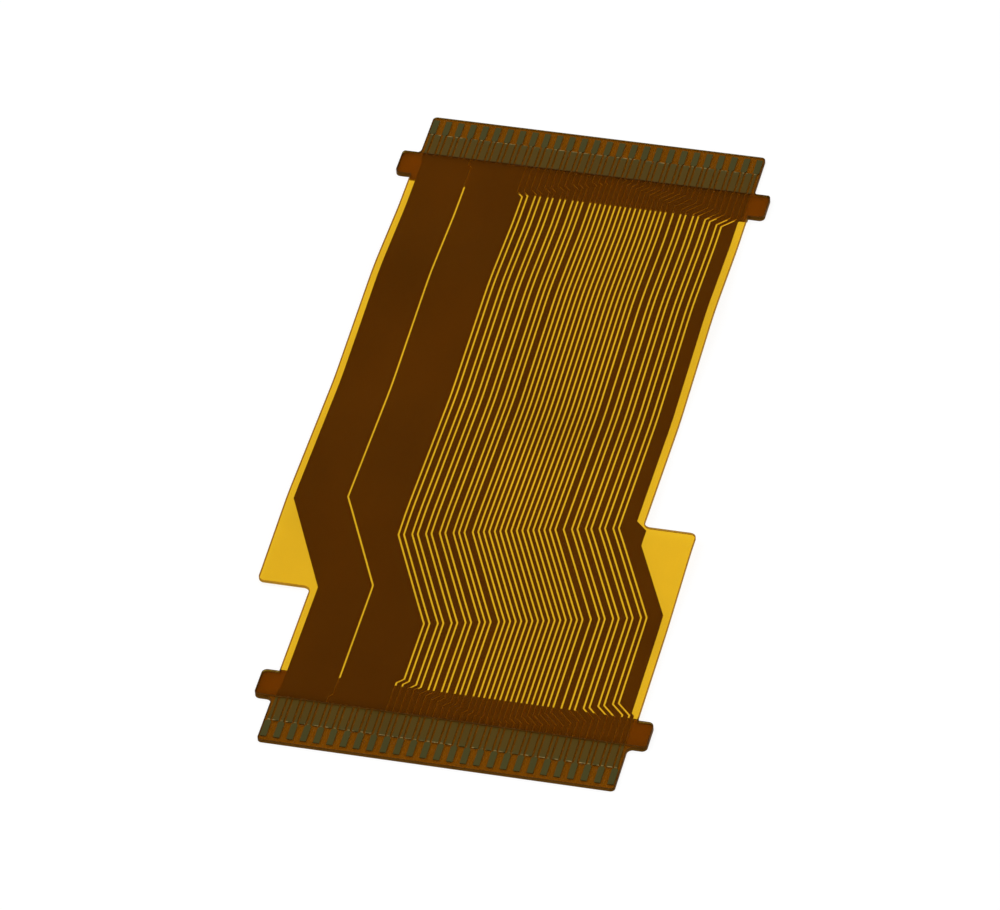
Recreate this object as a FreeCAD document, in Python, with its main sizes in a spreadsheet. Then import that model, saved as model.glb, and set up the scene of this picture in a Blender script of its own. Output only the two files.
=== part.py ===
import FreeCAD, Part
import math
import os

# A flat flex cable of the etched kind: copper conductors between a base film and a
# cover film, a stiffener under each end, and bare contacts in two staggered rows on
# the upper face of both ends. The far half of the strip lies side_shift to the left
# of the near half, and every conductor jogs across with it.
#
# Frame: +Z up, +Y along the cable from the near end to the far end, +X to the right.
# The origin is the middle of the footprint, on the surface that the cable lies on.
# Plan sizes are worked out as (across, along): across from the left edge of the near
# strip, along from the near end. A size named as being from the end holds at both ends.

Vector = FreeCAD.Vector

SIZES = [
    ("cable_length", 41.4, "end to end"),
    ("side_shift", 2.45, "near strip to far strip, sideways"),
    ("left_step", 9.55, "near end to the step in the left edge"),
    ("right_step", 15.85, "near end to the step in the right edge"),
    ("step_radius", 0.3, "corners of both steps"),
    ("contact_pitch", 0.3, "contact to contact, counting both rows"),
    ("end_margin", 0.225, "outermost contact's centre to the side of the tongue"),
    ("tongue_setback", 0.075, "side of the strip to side of the tongue"),
    ("tongue_radius", 0.2, "outer corners of the tongue"),
    ("ear_start", 2.6, "end to the ear"),
    ("ear_depth", 1.6, "ear, along the cable"),
    ("ear_reach", 0.75, "ear beyond the side of the strip"),
    ("ear_radius", 0.25, "corners of the ear, and where the tongue runs into it"),
    ("stiffener_length", 4.4, "end to the stiffener's inner edge"),
    ("stiffener_thickness", 0.115, "stiffener"),
    ("base_thickness", 0.05, "base film"),
    ("copper_thickness", 0.035, "conductors"),
    ("cover_thickness", 0.05, "cover film over the conductors"),
    ("cover_setback", 2.65, "end to the edge of the cover film"),
    ("root_overlap", 0.1, "cover film over the roots of the contacts"),
    ("outer_pad_start", 0.25, "end to the outer row of contacts"),
    ("outer_pad_length", 0.9, "contact of the outer row"),
    ("row_space", 0.1, "outer row to inner row"),
    ("pad_width", 0.28, "contact"),
    ("lead_width", 0.12, "lead to the outer row, between two inner contacts"),
    ("copper_gap", 0.08, "clearance between conductors"),
    ("narrow_width", 0.16, "narrow signal conductor"),
    ("medium_width", 0.28, "medium signal conductor"),
    ("edge_width", 0.65, "conductor along the right edge"),
    ("first_width", 2.35, "wide conductor along the left edge"),
    ("left_margin", 0.32, "film to the left of the conductors"),
    ("right_margin", 0.38, "film to the right of the conductors"),
    ("first_contacts", 8, "contacts of the first wide conductor"),
    ("second_contacts", 9, "contacts of the second wide conductor"),
    ("jog_angle", 25.8, "slant of the conductors between the two strips"),
    ("left_jog", 9.65, "near end to the bend in the left side of the first conductor"),
    ("parting_jog", 10.2, "near end to the bend between the two wide conductors"),
    ("signal_jog", 8.3, "near end to the bend beside the first signal conductor"),
    ("right_jog", 10.75, "near end to the bend in the right side of the edge conductor"),
    ("bulge_width", 0.55, "extra width of the edge conductor beside the right step"),
    ("bulge_end", 15.65, "near end to the end of that extra width"),
    ("left_fan", 3.1, "end to the fan of the conductors that spread to the left"),
    ("right_fan", 2.85, "end to the fan of the conductors that spread to the right"),
    ("near_level", 5.5, "near stiffener to the first bend of the side view"),
    ("far_level", 2.1, "far stiffener to the last bend"),
    ("crest_share", 0.196, "low crest, as a share of the way from the first bend to the last"),
    ("trough_share", 0.525, "trough, likewise"),
    ("hump_share", 0.815, "high crest, likewise"),
    ("crest_height", 0.4, "height of the base film's route at the low crest"),
    ("trough_height", 0.03, "the same at the trough"),
    ("hump_height", 0.45, "the same at the high crest"),
    ("bend_radius", 15.0, "every bend of the side view"),
    ("trim_allowance", 1.0, "how far cutting shapes reach past what they cut"),
]

# The signal conductors from left to right, N for narrow and M for medium.
SIGNALS = "NMNMNMNMNNM" + "N" * 15 + "MMNMNMNMN"

# Smallest distance that counts as one.
TINY = 1e-6

doc = FreeCAD.newDocument("flat_flex_cable")
sheet = doc.addObject("Spreadsheet::Sheet", "sizes")
for row, (alias, value, note) in enumerate(SIZES, start=1):
    sheet.set(f"A{row}", alias)
    sheet.set(f"B{row}", str(value))
    sheet.set(f"C{row}", note)
    sheet.setAlias(f"B{row}", alias)
doc.recompute()

length = sheet.cable_length
shift = sheet.side_shift
pitch = sheet.contact_pitch
first_count = int(sheet.first_contacts)
second_count = int(sheet.second_contacts)
contact_count = first_count + second_count + len(SIGNALS) + 1
strip_width = (contact_count - 1) * pitch + 2 * (sheet.end_margin + sheet.tongue_setback)
contact_root = sheet.cover_setback + sheet.root_overlap
base_bottom = sheet.stiffener_thickness

# The same width as an expression, for the objects that are bound to the sheet.
STRIP_WIDTH = (
    f"((sizes.first_contacts + sizes.second_contacts + {len(SIGNALS)}) * sizes.contact_pitch"
    " + 2 * (sizes.end_margin + sizes.tongue_setback))"
)
TRIM_HEIGHT = "(sizes.hump_height + sizes.trim_allowance)"


def in_frame(across, along, height=0.0):
    """A point of the plan as a point of the cable's own frame."""
    return Vector(across - (strip_width - shift) / 2, along - length / 2, height)


def plan_box(name, across, along, width, depth, bottom=f"-{TRIM_HEIGHT}", height=f"2 * {TRIM_HEIGHT}"):
    """A block whose sizes and plan position are expressions on the sheet."""
    box = doc.addObject("Part::Box", name)
    box.setExpression("Length", width)
    box.setExpression("Width", depth)
    box.setExpression("Height", height)
    box.setExpression(".Placement.Base.x", f"{across} - ({STRIP_WIDTH} - sizes.side_shift) / 2")
    box.setExpression(".Placement.Base.y", f"{along} - sizes.cable_length / 2")
    box.setExpression(".Placement.Base.z", bottom)
    return box


def plan_outline():
    """The outline that the films and stiffeners share, as a tall block with round corners."""
    tongue = f"{STRIP_WIDTH} - 2 * sizes.tongue_setback"
    eared = f"{STRIP_WIDTH} + 2 * sizes.ear_reach"
    ear_end = "sizes.ear_start + sizes.ear_depth"
    far_ear = f"sizes.cable_length - ({ear_end})"
    blocks = [
        plan_box("near_strip", "0", "sizes.ear_start", STRIP_WIDTH, "sizes.right_step - sizes.ear_start"),
        plan_box("far_strip", "-sizes.side_shift", "sizes.left_step", STRIP_WIDTH,
                 "sizes.cable_length - sizes.left_step - sizes.ear_start"),
        plan_box("near_tongue", "sizes.tongue_setback", "0", tongue, ear_end),
        plan_box("far_tongue", "sizes.tongue_setback - sizes.side_shift", far_ear, tongue, ear_end),
        plan_box("near_ears", "-sizes.ear_reach", "sizes.ear_start", eared, "sizes.ear_depth"),
        plan_box("far_ears", "-sizes.ear_reach - sizes.side_shift", far_ear, eared, "sizes.ear_depth"),
    ]
    union = doc.addObject("Part::MultiFuse", "square_outline")
    union.Shapes = blocks
    union.Refine = True
    doc.recompute()
    ear_sides = (-sheet.ear_reach, strip_width + sheet.ear_reach)
    ear_ends = (sheet.ear_start, sheet.ear_start + sheet.ear_depth)
    tongue_sides = (sheet.tongue_setback, strip_width - sheet.tongue_setback)
    ears = at_both_ends([(across, along) for across in ear_sides for along in ear_ends]
                        + [(across, sheet.ear_start) for across in tongue_sides])
    tongues = at_both_ends([(across, 0) for across in tongue_sides])
    steps = [(-shift, sheet.left_step), (0, sheet.left_step),
             (strip_width, sheet.right_step), (strip_width - shift, sheet.right_step)]
    outline = union
    for name, corners, radius in (
            ("rounded_ears", ears, sheet.ear_radius),
            ("rounded_steps", steps, sheet.step_radius),
            ("plan_outline", tongues, sheet.tongue_radius)):
        rounded = doc.addObject("Part::Fillet", name)
        rounded.Base = outline
        rounded.Edges = [(number, radius, radius) for number in upright_edges(outline.Shape, corners)]
        doc.recompute()
        outline = rounded
    return outline


def at_both_ends(points):
    """Plan points given at the near end, with their twins at the far end."""
    return points + [(across - shift, length - along) for across, along in points]


def upright_edges(shape, corners):
    """Numbers of the shape's upright edges that stand on the given plan points."""
    feet = [in_frame(across, along) for across, along in corners]
    found = []
    for number, edge in enumerate(shape.Edges, start=1):
        first, last = edge.Vertexes[0].Point, edge.Vertexes[-1].Point
        level = Vector(first.x, first.y, 0)
        if level.distanceToPoint(Vector(last.x, last.y, 0)) > TINY:
            continue
        if any(level.distanceToPoint(foot) < TINY for foot in feet):
            found.append(number)
    return found


def side_route():
    """Corners of the base film's underside in the side view, as (along, height)."""
    first = sheet.stiffener_length + sheet.near_level
    last = length - sheet.stiffener_length - sheet.far_level
    return [
        Vector(0, -sheet.trim_allowance, base_bottom),
        Vector(0, first, base_bottom),
        Vector(0, first + sheet.crest_share * (last - first), sheet.crest_height),
        Vector(0, first + sheet.trough_share * (last - first), sheet.trough_height),
        Vector(0, first + sheet.hump_share * (last - first), sheet.hump_height),
        Vector(0, last, base_bottom),
        Vector(0, length + sheet.trim_allowance, base_bottom),
    ]


def side_curve(rise):
    """The route with its corners rounded, moved up by rise at right angles to itself."""
    def raised(point, along):
        return point + Vector(0, -along.z, along.y).normalize() * rise + Vector(0, -length / 2, 0)

    route = side_route()
    edges = []
    ahead = (route[1] - route[0]).normalize()
    start = raised(route[0], ahead)
    for before, bend, after in zip(route, route[1:], route[2:]):
        arriving = (bend - before).normalize()
        ahead = (after - bend).normalize()
        half_turn = arriving.getAngle(ahead) / 2
        reach = sheet.bend_radius * math.tan(half_turn)
        inward = (ahead - arriving).normalize()
        sagitta = sheet.bend_radius * (1 / math.cos(half_turn) - 1)
        entry = raised(bend - arriving * reach, arriving)
        middle = raised(bend + inward * sagitta, arriving + ahead)
        leave = raised(bend + ahead * reach, ahead)
        edges.append(Part.LineSegment(start, entry).toShape())
        edges.append(Part.Arc(entry, middle, leave).toShape())
        start = leave
    edges.append(Part.LineSegment(start, raised(route[-1], ahead)).toShape())
    return edges


def bent_layer(name, bottom, top):
    """A sheet that follows the side route, bottom and top measured from the base film's underside."""
    lower, upper = side_curve(bottom), side_curve(top)
    ends = [
        Part.LineSegment(lower[0].firstVertex().Point, upper[0].firstVertex().Point).toShape(),
        Part.LineSegment(lower[-1].lastVertex().Point, upper[-1].lastVertex().Point).toShape(),
    ]
    face = Part.Face(Part.Wire(Part.__sortEdges__(lower + upper + ends)))
    half_width = (strip_width + shift) / 2 + sheet.ear_reach + sheet.trim_allowance
    face.translate(Vector(-half_width, 0, 0))
    layer = doc.addObject("Part::Feature", name)
    layer.Shape = face.extrude(Vector(2 * half_width, 0, 0))
    return layer


def plan_prism(points):
    """A tall block over the closed plan outline through the points."""
    low = -(sheet.hump_height + sheet.trim_allowance)
    corners = [in_frame(across, along, low) for across, along in points]
    return Part.Face(Part.makePolygon(corners + corners[:1])).extrude(Vector(0, 0, -2 * low))


# Where the conductors run.

def contact_across(number):
    """Centre of a contact, numbered from 0 at the left."""
    return sheet.tongue_setback + sheet.end_margin + number * pitch


def signal_widths():
    widths = {"N": sheet.narrow_width, "M": sheet.medium_width}
    return [widths[letter] for letter in SIGNALS]


def parting_lines():
    """Middle of every gap between conductors on the near strip, from left to right."""
    edge_left = strip_width - sheet.right_margin - sheet.edge_width
    lines = [edge_left - sheet.copper_gap / 2]
    for width in reversed(signal_widths()):
        lines.insert(0, lines[0] - sheet.copper_gap - width)
    first_right = sheet.left_margin + sheet.first_width
    return [first_right + sheet.copper_gap / 2] + lines


def contacts_left_of(line):
    """How many contacts lie to the left of a parting line."""
    return first_count if line == 0 else first_count + second_count + line - 1


def fan_places(lines):
    """For each parting line, how far from the end it meets the middle of its gap in the contacts.

    In the slanted stretch neighbouring lines keep the distance that they have on the strip.
    """
    targets = [contact_across(contacts_left_of(number)) - pitch / 2 for number in range(len(lines))]
    signal_lines = range(1, len(lines))
    middle = next((number for number in signal_lines if targets[number] > lines[number]), len(lines) - 1)
    places = [sheet.left_fan] * len(lines)
    for number in range(middle - 2, 0, -1):
        spread = math.sqrt(2) * (lines[number + 1] - lines[number]) - pitch
        places[number] = places[number + 1] + spread
    places[middle] = sheet.right_fan
    for number in range(middle + 1, len(lines)):
        spread = math.sqrt(2) * (lines[number] - lines[number - 1]) - pitch
        places[number] = places[number - 1] + spread
    return targets, places


def route(strip, bend, target, fan):
    """A line from end to end: fan at both ends, jog from the near strip to the far one."""
    rise = shift / math.tan(math.radians(sheet.jog_angle))
    fan_end = fan + abs(target - strip)
    points = [
        (target, contact_root), (target, fan), (strip, fan_end), (strip, bend),
        (strip - shift, bend + rise), (strip - shift, length - fan_end),
        (target - shift, length - fan), (target - shift, length - contact_root),
    ]
    kept = points[:1]
    for point in points[1:]:
        if math.dist(point, kept[-1]) > TINY:
            kept.append(point)
    return kept


def beside(points, distance):
    """The line at a constant distance to the right of a route, to the left if negative."""
    normals = []
    for (x0, y0), (x1, y1) in zip(points, points[1:]):
        run = math.hypot(x1 - x0, y1 - y0)
        normals.append(((y1 - y0) / run, (x0 - x1) / run))
    moved = []
    for (across, along), before, after in zip(points, normals[:1] + normals, normals + normals[-1:]):
        scale = distance / (1 + before[0] * after[0] + before[1] * after[1])
        moved.append((across + (before[0] + after[0]) * scale, along + (before[1] + after[1]) * scale))
    return moved


def contact_points(number):
    """Half of a contact's outline, as (half width, distance from the end) from root to tip."""
    pad, lead = sheet.pad_width / 2, sheet.lead_width / 2
    outer_start = sheet.outer_pad_start
    outer_end = outer_start + sheet.outer_pad_length
    if number % 2 == 0:
        return [(lead, contact_root), (lead, outer_end + pad - lead), (pad, outer_end), (pad, outer_start)]
    return [(pad, contact_root), (pad, outer_end + sheet.row_space)]


def comb(first, last):
    """Outline of a conductor's contacts from left to right, at the near end."""
    points = []
    for number in range(first, last):
        half = contact_points(number)
        centre = contact_across(number)
        points += [(centre - width, along) for width, along in half]
        points += [(centre + width, along) for width, along in reversed(half)]
    return points


def conductor(name, left_side, right_side, first, last, copper):
    """One conductor between two lines from end to end, with contacts first to last - 1."""
    teeth = comb(first, last)
    far_teeth = [(across - shift, length - along) for across, along in teeth]
    plan = plan_prism(left_side + far_teeth + right_side[::-1] + teeth[::-1])
    body = doc.addObject("Part::Feature", name)
    body.Shape = plan.common(copper.Shape).removeSplitter()
    return body


def outer_sides(lines, places):
    """Left side of the first conductor and right side of the edge conductor."""
    lead = sheet.lead_width / 2
    left = route(sheet.left_margin, sheet.left_jog, contact_across(0) - lead, sheet.left_fan)
    strip = strip_width - sheet.right_margin
    right = route(strip, sheet.right_jog, contact_across(contact_count - 1) + lead, places[-1])
    slant = math.tan(math.radians(sheet.jog_angle))
    bulge = strip - shift + sheet.bulge_width
    bend = next(number for number, point in enumerate(right) if point == (strip, sheet.right_jog))
    right[bend + 1:bend + 2] = [
        (bulge, sheet.right_jog + (strip - bulge) / slant),
        (bulge, sheet.bulge_end),
        (strip - shift, sheet.bulge_end + sheet.bulge_width),
    ]
    return left, right


def conductors(copper):
    """Every conductor, from left to right, and the field that they lie in."""
    lines = parting_lines()
    targets, places = fan_places(lines)
    slope = math.tan(math.radians(sheet.jog_angle) / 2)
    bends = [sheet.parting_jog] + [sheet.signal_jog + (line - lines[1]) * slope for line in lines[1:]]
    partings = [route(*values) for values in zip(lines, bends, targets, places)]
    left, right = outer_sides(lines, places)
    half_gap = sheet.copper_gap / 2
    left_sides = [left] + [beside(parting, half_gap) for parting in partings]
    right_sides = [beside(parting, -half_gap) for parting in partings] + [right]
    signal_names = [f"signal_conductor_{number:02d}" for number in range(1, len(SIGNALS) + 1)]
    names = ["first_wide_conductor", "second_wide_conductor"] + signal_names + ["edge_conductor"]
    counts = [0] + [contacts_left_of(number) for number in range(len(lines))] + [contact_count]
    bodies = [
        conductor(name, left_side, right_side, counts[number], counts[number + 1], copper)
        for number, (name, left_side, right_side) in enumerate(zip(names, left_sides, right_sides))
    ]
    return bodies, field(left, right)


def field(left, right):
    """The plan area between the outermost sides of the conductors, out past both ends."""
    reach = sheet.trim_allowance
    left_line = [(left[0][0], -reach)] + left + [(left[-1][0], length + reach)]
    right_line = [(right[0][0], -reach)] + right + [(right[-1][0], length + reach)]
    body = doc.addObject("Part::Feature", "conductor_field")
    body.Shape = plan_prism(left_line + right_line[::-1])
    return body


def cut_out(name, *shapes):
    """What all the given objects have in common."""
    body = doc.addObject("Part::MultiCommon", name)
    body.Shapes = list(shapes)
    body.Refine = True
    return body


def stiffener(name, outline, across, along):
    eared = f"{STRIP_WIDTH} + 2 * (sizes.ear_reach + sizes.trim_allowance)"
    block = plan_box(f"{name}_block", across, along, eared, "sizes.stiffener_length",
                     "0", "sizes.stiffener_thickness")
    return cut_out(name, outline, block)


def films(outline, base_layer, copper_layer, cover_layer, conductor_field):
    """Base film, and the cover film that comes down to it beside the conductors."""
    base = cut_out("base_film", outline, base_layer)
    margin = doc.addObject("Part::Cut", "cover_margin")
    margin.Base = copper_layer
    margin.Tool = conductor_field
    stack = doc.addObject("Part::Fuse", "cover_stack")
    stack.Base = cover_layer
    stack.Tool = margin
    wide = f"{STRIP_WIDTH} + sizes.side_shift + 2 * (sizes.ear_reach + sizes.trim_allowance)"
    window = plan_box("cover_window", "-sizes.side_shift - sizes.ear_reach - sizes.trim_allowance",
                      "sizes.cover_setback", wide, "sizes.cable_length - 2 * sizes.cover_setback")
    return [base, cut_out("cover_film", outline, stack, window)]


copper_bottom = sheet.base_thickness
cover_bottom = copper_bottom + sheet.copper_thickness
cover_top = cover_bottom + sheet.cover_thickness

outline = plan_outline()
base_layer = bent_layer("base_layer", 0, copper_bottom)
copper_layer = bent_layer("copper_layer", copper_bottom, cover_bottom)
cover_layer = bent_layer("cover_layer", cover_bottom, cover_top)
conductor_bodies, conductor_field = conductors(copper_layer)
sub_parts = films(outline, base_layer, copper_layer, cover_layer, conductor_field)
ear_side = "-sizes.ear_reach - sizes.trim_allowance"
sub_parts.append(stiffener("near_stiffener", outline, ear_side, "0"))
sub_parts.append(stiffener("far_stiffener", outline, f"{ear_side} - sizes.side_shift",
                           "sizes.cable_length - sizes.stiffener_length"))
sub_parts += conductor_bodies
doc.recompute()

for thing in doc.Objects:
    if "Invalid" in thing.State or "Error" in thing.State:
        raise RuntimeError(f"{thing.Name} failed to build")

os.makedirs("parts", exist_ok=True)
for body in sub_parts:
    shape = body.Shape
    if shape.isNull() or not shape.isValid() or len(shape.Solids) != 1:
        raise RuntimeError(f"{body.Label} is not one sound solid")
    shape.exportStep(f"parts/{body.Label}.step")
print(len(sub_parts), "sub-parts written")
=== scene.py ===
"""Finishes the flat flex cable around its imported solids, and sets it on a pale floor."""

import math

import bmesh
import bpy
from mathutils import Matrix, Vector


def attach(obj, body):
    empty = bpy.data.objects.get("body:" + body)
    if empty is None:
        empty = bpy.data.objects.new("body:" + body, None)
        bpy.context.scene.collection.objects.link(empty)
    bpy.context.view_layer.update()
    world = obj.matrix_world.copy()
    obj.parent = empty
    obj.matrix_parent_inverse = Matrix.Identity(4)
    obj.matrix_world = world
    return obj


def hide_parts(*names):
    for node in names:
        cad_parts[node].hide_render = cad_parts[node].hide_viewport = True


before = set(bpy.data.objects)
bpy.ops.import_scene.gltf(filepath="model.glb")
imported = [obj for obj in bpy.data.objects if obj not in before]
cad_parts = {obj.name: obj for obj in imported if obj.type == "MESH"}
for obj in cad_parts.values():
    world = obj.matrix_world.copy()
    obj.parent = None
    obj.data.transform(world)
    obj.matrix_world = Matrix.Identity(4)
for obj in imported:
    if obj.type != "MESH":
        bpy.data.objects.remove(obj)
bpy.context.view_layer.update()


# Base film. A sheet of amber polyimide that the copper is etched on, punched to its
# outline with both steps and the ears. It is clear, so the copper shows through from
# below, and its punched edges are painted with light: a painted glow on the walls and
# painted shade on the rim and inside faces, darkest over the stiffeners.
MM = 0.001
BOND_GAP = 0.002 * MM
WELD = 0.0005 * MM
RIM_WIDTH = 0.04 * MM
CREASE = math.radians(20)
WALL_NORMAL = 0.5  # a face whose normal rises less than this is a wall
STIFFENED_FROM = 16.3 * MM
FILM_PASSES = (0.93, 0.72, 0.136)
FILM_BODY = (0.26, 0.10, 0.006)
FILM_HAZE = 0.045
FILM_GRAIN, FILM_SHADE = 0.12 * MM, 0.15
FILM_SHINE = 0.15
FILM_ROUGHNESS = 0.18, 0.34
FILM_RELIEF = 0.0015 * MM
CLOUDINESS = {"From_Min": 0.3, "From_Max": 0.7, "To_Min": 0.98, "To_Max": 1.03}
EDGE_PASSES = (0.74, 0.49, 0.12)
# The punched edge's colours are painted light: a painted glow on thin walls, and painted shade on
# rims, inside faces and the walls over the stiffeners.
THIN_WALL_GLOW = (0.62, 0.38, 0.05)
THIN_RIM_SHADE = (0.34, 0.17, 0.018)
STIFF_WALL_SHADE = (0.17, 0.070, 0.004)
STIFF_RIM_SHADE = (0.072, 0.030, 0.003)
THIN_SOLID, STIFF_SOLID = 0.52, 0.8
EDGE_BLOTCH, EDGE_GRAIN, EDGE_SHADE = 0.8 * MM, 0.1 * MM, 0.8
EDGE_ROUGHNESS = 0.4, 0.65
EDGE_RELIEF = 0.012 * MM
DULL_SHINE = 0.05
RELIEF_STRENGTH = 0.6
BLOTCH_DETAIL, GRAIN_DETAIL = 3.0, 2.0
GRAIN_SHARE = 0.3
ALONG_STRETCH = 0.35


def pull_back(node, name, side):
    """A copy of a node with its bonded side a hair's breadth in.

    The bonded side is 1 for the top and -1 for the bottom. The outer walls and a narrow
    rim of the top take the second material, which paints light and shade on the punched edge.
    """
    shape = bmesh.new()
    shape.from_mesh(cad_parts[node].data)
    bmesh.ops.remove_doubles(shape, verts=shape.verts, dist=WELD)
    shape.normal_update()
    bonded = {vert for face in shape.faces
              if face.normal.z * side > WALL_NORMAL for vert in face.verts}
    bmesh.ops.translate(shape, verts=list(bonded), vec=(0, 0, -side * BOND_GAP))
    top = [face for face in shape.faces if face.normal.z > WALL_NORMAL]
    top_verts = {vert for face in top for vert in face.verts}
    for face in shape.faces:
        if abs(face.normal.z) < WALL_NORMAL and top_verts.intersection(face.verts):
            face.material_index = 1
    rim = bmesh.ops.inset_region(
        shape, faces=top, thickness=RIM_WIDTH, use_boundary=True, use_even_offset=True)
    for face in rim["faces"]:
        face.material_index = 1
    mesh = bpy.data.meshes.new(name)
    shape.to_mesh(mesh)
    shape.free()
    mesh.set_sharp_from_angle(angle=CREASE)
    piece = bpy.data.objects.new(name, mesh)
    bpy.context.scene.collection.objects.link(piece)
    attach(piece, "root")
    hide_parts(node)
    return piece


def node_into(tree, kind, **settings):
    """A new shader node, with its properties and the values of its sockets."""
    node = tree.nodes.new(kind)
    for name, value in settings.items():
        if hasattr(node, name):
            setattr(node, name, value)
        else:
            node.inputs[name.replace("_", " ")].default_value = value
    return node


def empty_material(name):
    """A new material whose node tree holds nothing yet."""
    material = bpy.data.materials.new(name)
    material.use_nodes = True
    material.node_tree.nodes.clear()
    return material


def rolled_sheet_group():
    """Slow blotches and fine grain in one value round 1, for anything rolled into a sheet."""
    group = bpy.data.node_groups.new("rolled_sheet", "ShaderNodeTree")
    for way, names in (("INPUT", ("Blotch Size", "Grain Size", "Depth")),
                       ("OUTPUT", ("Shade", "Grain"))):
        for name in names:
            group.interface.new_socket(name=name, in_out=way, socket_type="NodeSocketFloat")
    given = group.nodes.new("NodeGroupInput")
    result = group.nodes.new("NodeGroupOutput")
    place = group.nodes.new("ShaderNodeTexCoord")
    stretch = node_into(group, "ShaderNodeMapping", Scale=(1.0, ALONG_STRETCH, 1.0))
    group.links.new(place.outputs["Object"], stretch.inputs["Vector"])
    noises = {}
    for size, detail in (("Blotch Size", BLOTCH_DETAIL), ("Grain Size", GRAIN_DETAIL)):
        per_metre = node_into(group, "ShaderNodeMath", operation="DIVIDE")
        per_metre.inputs[0].default_value = 1.0
        group.links.new(given.outputs[size], per_metre.inputs[1])
        noise = node_into(group, "ShaderNodeTexNoise", Detail=detail)
        group.links.new(stretch.outputs["Vector"], noise.inputs["Vector"])
        group.links.new(per_metre.outputs[0], noise.inputs["Scale"])
        noises[size] = noise.outputs["Fac"]
    both = node_into(group, "ShaderNodeMath", operation="MULTIPLY_ADD")
    both.inputs[1].default_value = GRAIN_SHARE
    group.links.new(noises["Grain Size"], both.inputs[0])
    group.links.new(noises["Blotch Size"], both.inputs[2])
    centred = node_into(group, "ShaderNodeMath", operation="SUBTRACT")
    centred.inputs[1].default_value = 0.5 + 0.5 * GRAIN_SHARE
    group.links.new(both.outputs[0], centred.inputs[0])
    shade = node_into(group, "ShaderNodeMath", operation="MULTIPLY_ADD")
    shade.inputs[2].default_value = 1.0
    group.links.new(centred.outputs[0], shade.inputs[0])
    group.links.new(given.outputs["Depth"], shade.inputs[1])
    group.links.new(shade.outputs[0], result.inputs["Shade"])
    group.links.new(noises["Grain Size"], result.inputs["Grain"])
    return group


rolled_sheet = rolled_sheet_group()


def sheet_marks(tree, blotch, grain, depth):
    """The rolled sheet's Shade and Grain, with their sizes and depth."""
    marks = node_into(tree, "ShaderNodeGroup", node_tree=rolled_sheet)
    marks.inputs["Blotch Size"].default_value = blotch
    marks.inputs["Grain Size"].default_value = grain
    marks.inputs["Depth"].default_value = depth
    return marks.outputs["Shade"], marks.outputs["Grain"]


def shaded(tree, colour, factor):
    """The colour times a value that changes over the surface."""
    scale = node_into(tree, "ShaderNodeVectorMath", operation="SCALE")
    if isinstance(colour, tuple):
        scale.inputs[0].default_value = colour
    else:
        tree.links.new(colour, scale.inputs[0])
    tree.links.new(factor, scale.inputs["Scale"])
    return scale.outputs[0]


def either_colour(tree, mask, without, within):
    """One colour where the mask is 0 and another where it is 1."""
    mix = node_into(tree, "ShaderNodeMix", data_type="RGBA")
    tree.links.new(mask, mix.inputs["Factor"])
    for socket, colour in ((mix.inputs[6], without), (mix.inputs[7], within)):
        if isinstance(colour, tuple):
            socket.default_value = (*colour, 1.0)
        else:
            tree.links.new(colour, socket)
    return mix.outputs[2]


def ramp(tree, value, **limits):
    """A value carried from one range to another. Each is 0 to 1 where it isn't given."""
    carry = node_into(tree, "ShaderNodeMapRange", **limits)
    tree.links.new(value, carry.inputs["Value"])
    return carry.outputs[0]


def calculated(tree, operation, first, second, **settings):
    """One step of arithmetic on a value of the surface, with another such value or a number."""
    maths = node_into(tree, "ShaderNodeMath", operation=operation, **settings)
    tree.links.new(first, maths.inputs[0])
    if isinstance(second, float):
        maths.inputs[1].default_value = second
    else:
        tree.links.new(second, maths.inputs[1])
    return maths.outputs[0]


def distance_from_middle(tree, coordinate):
    """A coordinate's size, whichever side of the middle it is on."""
    size = node_into(tree, "ShaderNodeMath", operation="ABSOLUTE")
    tree.links.new(coordinate, size.inputs[0])
    return size.outputs[0]


def over(tree, coordinate, limit):
    """1 where a coordinate's size is over a limit."""
    return calculated(tree, "GREATER_THAN", distance_from_middle(tree, coordinate), limit)


def under(tree, coordinate, limit):
    """1 where a coordinate's size is under a limit."""
    return calculated(tree, "LESS_THAN", distance_from_middle(tree, coordinate), limit)


def split(tree, vector):
    """The three numbers of a place or a direction."""
    parts = node_into(tree, "ShaderNodeSeparateXYZ")
    tree.links.new(vector, parts.inputs[0])
    return parts.outputs


def roughened(tree, grain, shader, smoothest, roughest):
    """Lets the grain change a surface's roughness between two values."""
    rough = ramp(tree, grain, To_Min=smoothest, To_Max=roughest)
    tree.links.new(rough, shader.inputs["Roughness"])


def uneven(tree, height, shader, depth):
    """Lets a value between 0 and 1 raise the surface by up to a depth."""
    bump = node_into(tree, "ShaderNodeBump", Strength=RELIEF_STRENGTH, Distance=depth)
    tree.links.new(height, bump.inputs["Height"])
    tree.links.new(bump.outputs[0], shader.inputs["Normal"])


def finish_with(tree, shader):
    """Puts a shader on the surface."""
    out = node_into(tree, "ShaderNodeOutputMaterial")
    tree.links.new(shader.outputs[0], out.inputs["Surface"])


def clear_and_solid(tree, clear, solid, share):
    """A surface that is partly clear and partly solid, by a share that is a number or a value."""
    look = node_into(tree, "ShaderNodeMixShader")
    if isinstance(share, float):
        look.inputs["Fac"].default_value = share
    else:
        tree.links.new(share, look.inputs["Fac"])
    tree.links.new(clear.outputs[0], look.inputs[1])
    tree.links.new(solid.outputs[0], look.inputs[2])
    finish_with(tree, look)


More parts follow.
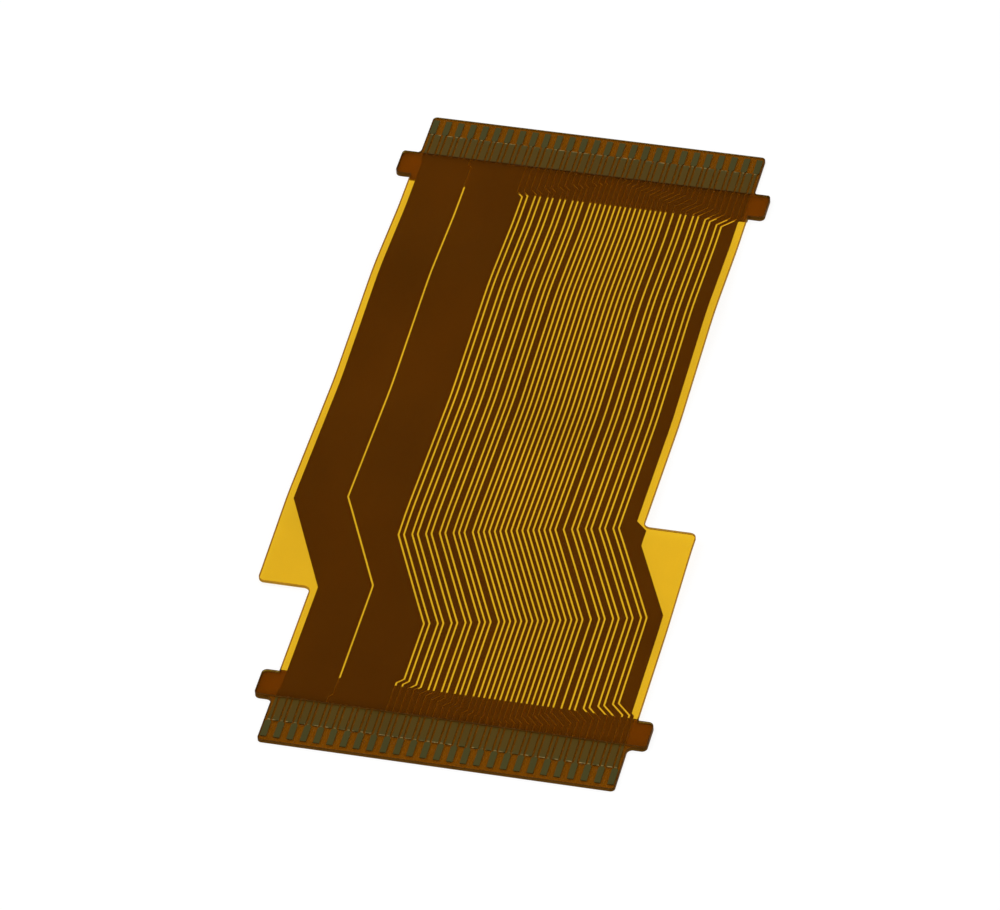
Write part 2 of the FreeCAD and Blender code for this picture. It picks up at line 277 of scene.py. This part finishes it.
def film_material(name, passes, body, haze, blotch, dark_band=None):
    """Clear film that tints what is behind it once at each face.

    A dark band has two places along the cable and a share: from the first place to the
    second, the film comes to let only that share through.
    """
    material = empty_material(name)
    tree = material.node_tree
    shade, grain = sheet_marks(tree, blotch, FILM_GRAIN, FILM_SHADE)
    place = node_into(tree, "ShaderNodeTexCoord")
    cloud = node_into(tree, "ShaderNodeTexNoise", Scale=1.0 / blotch, Detail=BLOTCH_DETAIL)
    tree.links.new(place.outputs["Object"], cloud.inputs["Vector"])
    clearness = ramp(tree, cloud.outputs["Fac"], **CLOUDINESS)
    if dark_band:
        start, end, share = dark_band
        along = split(tree, place.outputs["Object"])["Y"]
        dimming = ramp(tree, distance_from_middle(tree, along),
                       From_Min=start, From_Max=end, To_Min=1.0, To_Max=share)
        clearness = calculated(tree, "MULTIPLY", clearness, dimming)
    clear = node_into(tree, "ShaderNodeBsdfTransparent")
    once_a_face = tuple(math.sqrt(value) for value in passes)
    tree.links.new(shaded(tree, once_a_face, clearness), clear.inputs["Color"])
    solid = node_into(tree, "ShaderNodeBsdfPrincipled", Specular_IOR_Level=FILM_SHINE, IOR=1.5)
    tree.links.new(shaded(tree, body, shade), solid.inputs["Base Color"])
    roughened(tree, grain, solid, *FILM_ROUGHNESS)
    uneven(tree, grain, solid, FILM_RELIEF)
    clear_and_solid(tree, clear, solid, haze)
    return material


def edge_material():
    """The punched edge: a painted glow on its walls, painted shade on its rim and inside faces,
    darker over the stiffeners.
    """
    material = empty_material("punched_edge_glow_and_shade")
    tree = material.node_tree
    shade, grain = sheet_marks(tree, EDGE_BLOTCH, EDGE_GRAIN, EDGE_SHADE)
    place = node_into(tree, "ShaderNodeTexCoord")
    rises = split(tree, place.outputs["Normal"])["Z"]
    along = split(tree, place.outputs["Object"])["Y"]
    side = node_into(tree, "ShaderNodeNewGeometry")
    # Rims and inside faces take painted shade, and outer walls a painted glow.
    shaded_rim_or_inside = calculated(
        tree, "MAXIMUM", over(tree, rises, WALL_NORMAL), side.outputs["Backfacing"])
    stiffened = over(tree, along, STIFFENED_FROM)
    wall = either_colour(tree, stiffened, THIN_WALL_GLOW, STIFF_WALL_SHADE)
    rim = either_colour(tree, stiffened, THIN_RIM_SHADE, STIFF_RIM_SHADE)
    tone = either_colour(tree, shaded_rim_or_inside, wall, rim)
    solid = node_into(tree, "ShaderNodeBsdfPrincipled", Specular_IOR_Level=DULL_SHINE)
    tree.links.new(shaded(tree, tone, shade), solid.inputs["Base Color"])
    roughened(tree, grain, solid, *EDGE_ROUGHNESS)
    uneven(tree, grain, solid, EDGE_RELIEF)
    clear = node_into(tree, "ShaderNodeBsdfTransparent", Color=(*EDGE_PASSES, 1.0))
    share = ramp(tree, stiffened, To_Min=THIN_SOLID, To_Max=STIFF_SOLID)
    clear_and_solid(tree, clear, solid, share)
    return material


punched_edge_glow_and_shade = edge_material()


def dress(piece, material):
    """Gives a film its material, and in a second slot the punched edge with its painted glow and
    shade.
    """
    piece.data.materials.append(material)
    piece.data.materials.append(punched_edge_glow_and_shade)


dress(pull_back("base_film", "base_film_sheet", 1),
      film_material("amber_base_film", FILM_PASSES, FILM_BODY, FILM_HAZE, 5 * MM))


# Cover film. The same polyimide with its adhesive, laid over the copper and down to the
# base film beside it. It stops short of both ends, where the contacts are bare, and it
# lets less light through in a band just inside that edge.
COVER_EDGE = 18.05 * MM
COVER_EDGE_BAND = (COVER_EDGE - 0.45 * MM, COVER_EDGE - 0.05 * MM, 0.92)
dress(pull_back("cover_film", "cover_film_sheet", -1),
      film_material("amber_cover_film", FILM_PASSES, FILM_BODY, FILM_HAZE, 7 * MM, COVER_EDGE_BAND))


# Stiffeners. Strips of thicker polyimide bonded under both ends, so that the end is as
# thick and stiff as a connector needs. They scatter light more than they let it through.
STIFFENER_PASSES = (0.25, 0.12, 0.03)
STIFFENER_BODY = (0.29, 0.125, 0.008)
STIFFENER_HAZE = 0.5
stiffener_material = film_material(
    "thick_amber_film", STIFFENER_PASSES, STIFFENER_BODY, STIFFENER_HAZE, 4 * MM)
for end in ("near", "far"):
    strip = pull_back(f"{end}_stiffener", f"{end}_stiffener_strip", 1)
    dress(strip, stiffener_material)


# Conductors. Copper foil etched into tracks, painted dark brown as in shade.
# The bare contacts at both ends are plated and painted dark as in shade, greenish at the
# tips and browner at the roots, with painted glints on the inner row's tips here and there.
# Painted shade: the copper and plating colours are as dark as they look in shade, and the tip
# glint is a painted highlight.
COPPER_PAINTED_DARK = (0.086, 0.034, 0.018)
ETCHED_WALL = (0.76, 0.50, 0.22)
PLATED_TIP_IN_SHADE = (0.064, 0.056, 0.014)
PLATED_ROOT_IN_SHADE = (0.084, 0.051, 0.007)
PAINTED_TIP_GLINT = (0.32, 0.22, 0.08)
INNER_TIPS = 19.45 * MM
GLINT_HALF = 0.02 * MM
ROOTS_END = INNER_TIPS - 0.3 * MM
TIPS_START = INNER_TIPS + 0.1 * MM
PATCH_EDGES = 0.42, 0.62
FOIL_BLOTCH, FOIL_GRAIN, FOIL_SHADE = 3 * MM, 0.25 * MM, 0.35
FOIL_METAL, PLATING_METAL = 0.3, 0.6
FOIL_ROUGHNESS = 0.5, 0.7
FOIL_RELIEF = 0.0025 * MM


def conductor_material():
    """Copper painted dark as in shade under the cover film, plating past its edge painted dark as
    in shade with painted tip glints, and bright etched walls.
    """
    material = empty_material("etched_copper")
    tree = material.node_tree
    shade, grain = sheet_marks(tree, FOIL_BLOTCH, FOIL_GRAIN, FOIL_SHADE)
    place = node_into(tree, "ShaderNodeTexCoord")
    along = split(tree, place.outputs["Object"])["Y"]
    rises = split(tree, place.outputs["Normal"])["Z"]
    bare = over(tree, along, COVER_EDGE)
    from_middle = distance_from_middle(tree, along)
    outward = ramp(tree, from_middle, From_Min=ROOTS_END, From_Max=TIPS_START)
    plating = either_colour(tree, outward, PLATED_ROOT_IN_SHADE, PLATED_TIP_IN_SHADE)
    from_tips = calculated(tree, "SUBTRACT", from_middle, INNER_TIPS - GLINT_HALF)
    patches = ramp(tree, grain, From_Min=PATCH_EDGES[0], From_Max=PATCH_EDGES[1])
    # A painted highlight on the inner row's tips, in random patches.
    painted_glint = calculated(tree, "MULTIPLY", under(tree, from_tips, GLINT_HALF), patches)
    plating = either_colour(tree, painted_glint, plating, PAINTED_TIP_GLINT)
    foil = either_colour(
        tree, bare, shaded(tree, COPPER_PAINTED_DARK, shade), shaded(tree, plating, shade))
    covered_wall = calculated(
        tree, "SUBTRACT", under(tree, rises, WALL_NORMAL), bare, use_clamp=True)
    copper = node_into(tree, "ShaderNodeBsdfPrincipled", Specular_IOR_Level=DULL_SHINE)
    tree.links.new(either_colour(tree, covered_wall, foil, ETCHED_WALL),
                   copper.inputs["Base Color"])
    metal = ramp(tree, bare, To_Min=FOIL_METAL, To_Max=PLATING_METAL)
    tree.links.new(calculated(tree, "MAXIMUM", metal, covered_wall), copper.inputs["Metallic"])
    roughened(tree, grain, copper, *FOIL_ROUGHNESS)
    uneven(tree, grain, copper, FOIL_RELIEF)
    finish_with(tree, copper)
    return material


etched_copper = conductor_material()
for name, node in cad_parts.items():
    if name.endswith("_conductor") or name.startswith("signal_conductor"):
        for slot in node.material_slots:
            slot.material = etched_copper


# Floor and world. A pale table just under the cable, white to the camera and to what gloss
# or clear film shows of it, with an even studio sky and two soft lamps over it.
FLOOR_REACH = 3.0
FLOOR_DROP = 0.02 * MM
FLOOR_GREY = 0.16
FLOOR_GLOW = 0.88
SKY = 0.55
WHITE = (1.0, 1.0, 1.0, 1.0)
floor_shape = bmesh.new()
bmesh.ops.create_grid(floor_shape, x_segments=1, y_segments=1, size=FLOOR_REACH)
bmesh.ops.translate(floor_shape, verts=floor_shape.verts, vec=(0, 0, -FLOOR_DROP))
floor_mesh = bpy.data.meshes.new("floor")
floor_shape.to_mesh(floor_mesh)
floor_shape.free()
floor = bpy.data.objects.new("floor", floor_mesh)
bpy.context.scene.collection.objects.link(floor)


def seen_directly(tree):
    """1 for rays from the camera, and for those that a gloss or a clear surface sends on."""
    path = node_into(tree, "ShaderNodeLightPath").outputs
    either = calculated(tree, "MAXIMUM", path["Is Camera Ray"], path["Is Glossy Ray"])
    return calculated(tree, "MAXIMUM", either, path["Is Transmission Ray"])


floor_material = empty_material("pale_table")
tree = floor_material.node_tree
pale = node_into(tree, "ShaderNodeBsdfPrincipled", Roughness=0.9, Specular_IOR_Level=0.0)
pale.inputs["Base Color"].default_value = (FLOOR_GREY, FLOOR_GREY, FLOOR_GREY, 1.0)
pale.inputs["Emission Color"].default_value = WHITE
glow = calculated(tree, "MULTIPLY", seen_directly(tree), FLOOR_GLOW)
tree.links.new(glow, pale.inputs["Emission Strength"])
finish_with(tree, pale)
floor_mesh.materials.append(floor_material)

world = bpy.data.worlds.new("studio")
bpy.context.scene.world = world
world.use_nodes = True
tree = world.node_tree
tree.nodes.clear()
even = node_into(tree, "ShaderNodeBackground", Color=WHITE)
tree.links.new(ramp(tree, seen_directly(tree), To_Min=SKY, To_Max=1.0),
               even.inputs["Strength"])
out = node_into(tree, "ShaderNodeOutputWorld")
tree.links.new(even.outputs[0], out.inputs["Surface"])

for name, place, side, power in (
        ("key_light", (-0.5, -0.2, 0.8), 0.7, 3.0),
        ("fill_light", (0.6, 0.3, 0.7), 0.7, 1.2)):
    lamp = bpy.data.lights.new(name, "AREA")
    lamp.size = side
    lamp.energy = power
    light = bpy.data.objects.new(name, lamp)
    light.matrix_world = (Matrix.Translation(place)
                          @ Vector(place).to_track_quat("Z", "Y").to_matrix().to_4x4())
    bpy.context.scene.collection.objects.link(light)


# Camera. It stands where the photograph was taken from, with its long lens, and is turned
# a little about its axis.
TARGET = Vector((-0.663, -1.131, 0.07)) * MM
AZIMUTH, ELEVATION, ROLL = math.radians(16.636), math.radians(43.425), math.radians(-4.063)
DISTANCE = 371.73 * MM
FOCAL_PIXELS = 8235.8
PHOTO_WIDTH = 1000.0
right = Vector((math.cos(AZIMUTH), math.sin(AZIMUTH), 0))
ahead = Vector((-math.sin(AZIMUTH) * math.cos(ELEVATION),
                math.cos(AZIMUTH) * math.cos(ELEVATION), -math.sin(ELEVATION)))
above = right.cross(ahead)
turned_right = right * math.cos(ROLL) + above * math.sin(ROLL)
turned_above = above * math.cos(ROLL) - right * math.sin(ROLL)
lens = bpy.data.cameras.new("camera")
lens.sensor_width = 36.0
lens.lens = FOCAL_PIXELS / PHOTO_WIDTH * lens.sensor_width
lens.clip_start = 0.01
lens.clip_end = 20.0
camera = bpy.data.objects.new("camera", lens)
axes = Matrix((turned_right, turned_above, -ahead)).transposed().to_4x4()
camera.matrix_world = Matrix.Translation(TARGET - ahead * DISTANCE) @ axes
bpy.context.scene.collection.objects.link(camera)
bpy.context.scene.camera = camera
bpy.context.scene.view_settings.view_transform = "Standard"

bpy.context.view_layer.update()
